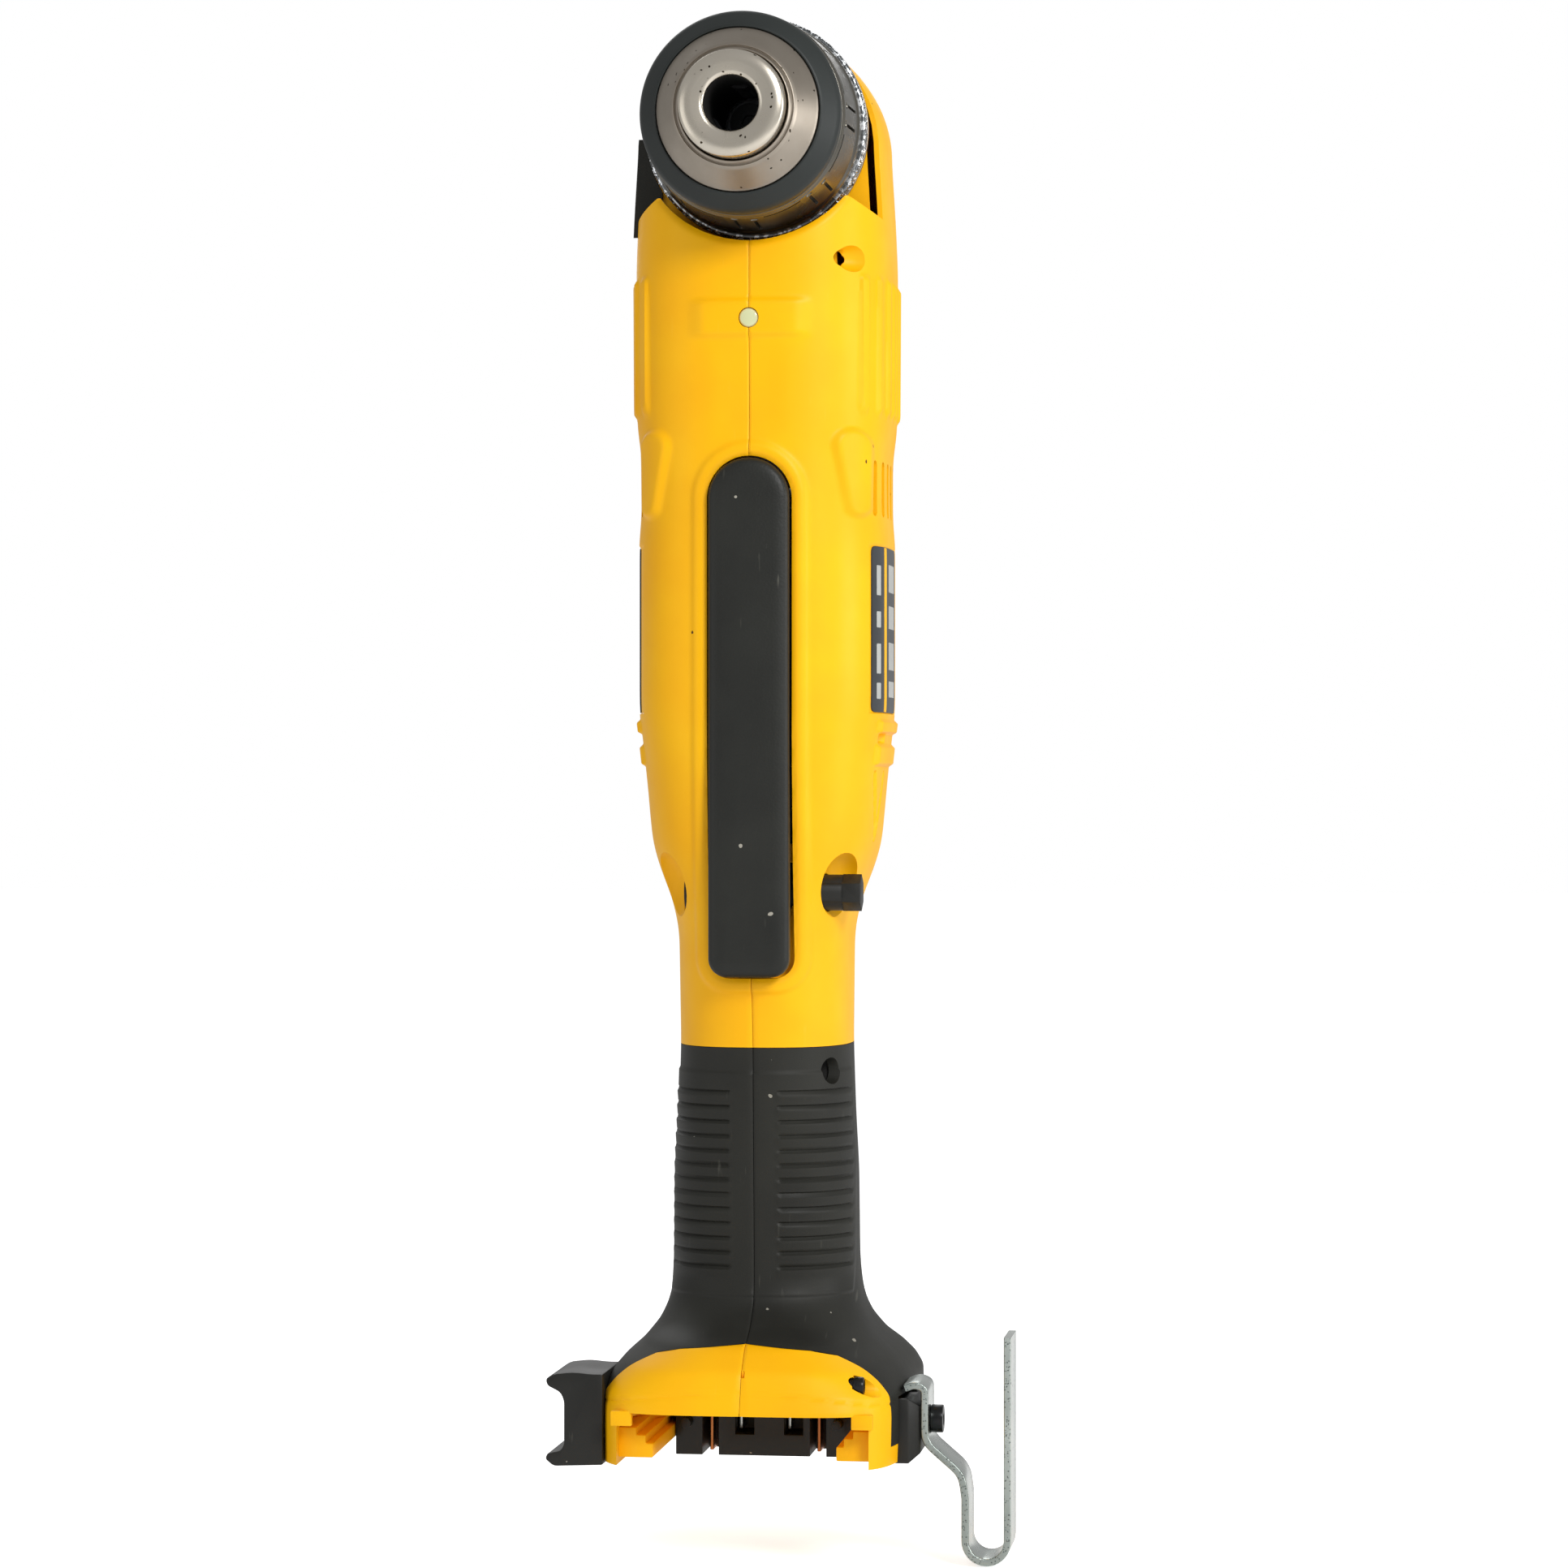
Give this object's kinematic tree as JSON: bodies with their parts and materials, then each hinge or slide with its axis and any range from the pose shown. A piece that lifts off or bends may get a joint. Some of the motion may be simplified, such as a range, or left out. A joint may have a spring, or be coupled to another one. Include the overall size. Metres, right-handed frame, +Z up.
{
  "type": "right-angle drill",
  "caption": "Cordless right-angle drill body with a keyless chuck, a paddle trigger, a reverse bolt, a rubber grip and a slide-on battery foot.",
  "frame": {"origin": "on the motor's axis, in the plane of the battery seat under the foot", "axes": "+Z up the body from the foot to the head; -Y the way the chuck points; +X the side of the belt hook"},
  "size_m": [0.099, 0.0963, 0.3328],
  "materials": {
    "yellow_nylon": "fine moulded texture, satin",
    "grip_rubber": "matt, soft touch",
    "black_nylon": "fine moulded texture, satin",
    "satin_steel": "satin, turned",
    "bright_nose": "polished",
    "sleeve_grey": "satin, fluted",
    "carbide_grit": "sparkling grit",
    "bearing_steel": "ground",
    "gear_steel": "hardened, oiled",
    "zinc_plate": "bright zinc plate",
    "cast_aluminium": "die cast",
    "motor_steel": "zinc plated can",
    "ferrite": "sintered",
    "copper": "bright copper alloy",
    "winding": "enamelled wire",
    "tin_plate": "tin plated",
    "graphite": "pressed carbon",
    "board_green": "solder mask",
    "lens_clear": "clear lens",
    "wire_red": "PVC insulation",
    "label_black": "satin printed film",
    "black_oxide": "black oxide",
    "plunger_red": "acetal"
  },
  "bodies": {
    "drill_body": {"housing_left": "yellow_nylon", "housing_right": "yellow_nylon", "grip_left": "grip_rubber", "grip_right": "grip_rubber", "head_pad": "grip_rubber", "gear_case": "cast_aluminium", "ring_gear": "gear_steel", "gearbox_plate": "cast_aluminium", "motor_can": "motor_steel", "motor_magnets": "ferrite", "motor_end_cap": "black_nylon", "brushes": "graphite", "motor_bearings": "bearing_steel", "spindle_bearings": "bearing_steel", "pinion_bearing": "bearing_steel", "switch_body": "black_nylon", "control_board": "board_green", "heat_sink": "cast_aluminium", "terminal_block": "black_nylon", "power_blades": "copper", "signal_blades": "tin_plate", "led_lens": "lens_clear", "leads": "wire_red", "housing_screws": "black_oxide", "belt_hook": "zinc_plate", "belt_hook_screw": "black_oxide", "hook_boss": "black_nylon", "bit_holder": "black_nylon", "bit_holder_screw": "black_oxide", "hinge_pin": "bearing_steel", "label_left": "label_black", "label_right": "label_black", "trigger_spring": "bearing_steel"},
    "spindle_unit": {"spindle": "bearing_steel", "bevel_gear": "gear_steel", "chuck_body": "bright_nose", "chuck_rear_cap": "satin_steel", "chuck_screw": "black_oxide"},
    "sleeve_unit": {"chuck_sleeve": "sleeve_grey", "grip_band": "carbide_grit", "sleeve_rim": "black_nylon", "sleeve_cone": "satin_steel", "chuck_nut": "gear_steel"},
    "jaw_1": {"jaw_1": "gear_steel"},
    "jaw_2": {"jaw_2": "gear_steel"},
    "jaw_3": {"jaw_3": "gear_steel"},
    "motor_rotor": {"armature": "winding", "motor_shaft": "bearing_steel", "commutator": "copper", "fan": "black_nylon", "sun_gear": "gear_steel"},
    "carrier_unit": {"planet_carrier": "gear_steel", "bevel_pinion": "gear_steel"},
    "planet_1": {"planet_1": "gear_steel"},
    "planet_2": {"planet_2": "gear_steel"},
    "planet_3": {"planet_3": "gear_steel"},
    "paddle": {"paddle": "black_nylon"},
    "switch_plunger": {"switch_plunger": "plunger_red"},
    "reverse_button": {"reverse_button": "black_nylon"}
  },
  "joints": [
    {"name": "spindle_spin", "type": "hinge", "parent": "drill_body", "child": "spindle_unit", "pos_m": [0, 0, 0.287], "axis": [0, -1, 0], "continuous": true},
    {"name": "carrier_spin", "type": "hinge", "parent": "drill_body", "child": "carrier_unit", "pos_m": [0, 0, 0.23], "axis": [0, 0, 1], "continuous": true},
    {"name": "motor_spin", "type": "hinge", "parent": "drill_body", "child": "motor_rotor", "pos_m": [0, 0, 0.17], "axis": [0, 0, 1], "continuous": true},
    {"name": "sleeve_turn", "type": "hinge", "parent": "spindle_unit", "child": "sleeve_unit", "pos_m": [0, 0, 0.287], "axis": [0, -1, 0], "range_deg": [0, 2880]},
    {"name": "planet_1_spin", "type": "hinge", "parent": "carrier_unit", "child": "planet_1", "pos_m": [0, 0.0105, 0.2178], "axis": [0, 0, 1], "continuous": true},
    {"name": "planet_2_spin", "type": "hinge", "parent": "carrier_unit", "child": "planet_2", "pos_m": [-0.00909, -0.00525, 0.2178], "axis": [0, 0, 1], "continuous": true},
    {"name": "planet_3_spin", "type": "hinge", "parent": "carrier_unit", "child": "planet_3", "pos_m": [0.00909, -0.00525, 0.2178], "axis": [0, 0, 1], "continuous": true},
    {"name": "jaw_1_slide", "type": "slide", "parent": "spindle_unit", "child": "jaw_1", "axis": [0, -0.9659, -0.2588], "range_m": [0, 0.0168]},
    {"name": "jaw_2_slide", "type": "slide", "parent": "spindle_unit", "child": "jaw_2", "axis": [0.2241, -0.9659, 0.1294], "range_m": [0, 0.0168]},
    {"name": "jaw_3_slide", "type": "slide", "parent": "spindle_unit", "child": "jaw_3", "axis": [-0.2241, -0.9659, 0.1294], "range_m": [0, 0.0168]},
    {"name": "paddle_press", "type": "hinge", "parent": "drill_body", "child": "paddle", "pos_m": [0, -0.026, 0.208], "axis": [1, 0, 0], "range_deg": [0, 3.4], "stiffness_Nm_per_rad": 4, "springref_deg": -8.59, "deforming": ["trigger_spring"]},
    {"name": "plunger_slide", "type": "slide", "parent": "drill_body", "child": "switch_plunger", "axis": [0, 1, 0], "range_m": [0, 0.0048]},
    {"name": "reverse_slide", "type": "slide", "parent": "drill_body", "child": "reverse_button", "axis": [-1, 0, 0], "range_m": [0, 0.0077]}
  ],
  "couplings": [
    {"joint": "carrier_spin", "follows": "spindle_spin", "ratio": -2},
    {"joint": "motor_spin", "follows": "spindle_spin", "ratio": -10},
    {"joint": "planet_1_spin", "follows": "spindle_spin", "ratio": 5.3333},
    {"joint": "planet_2_spin", "follows": "spindle_spin", "ratio": 5.3333},
    {"joint": "planet_3_spin", "follows": "spindle_spin", "ratio": 5.3333},
    {"joint": "jaw_1_slide", "follows": "sleeve_turn", "m_per_rad": 0.00032954},
    {"joint": "jaw_2_slide", "follows": "sleeve_turn", "m_per_rad": 0.00032954},
    {"joint": "jaw_3_slide", "follows": "sleeve_turn", "m_per_rad": 0.00032954},
    {"joint": "plunger_slide", "follows": "paddle_press", "m_per_rad": 0.077}
  ]
}
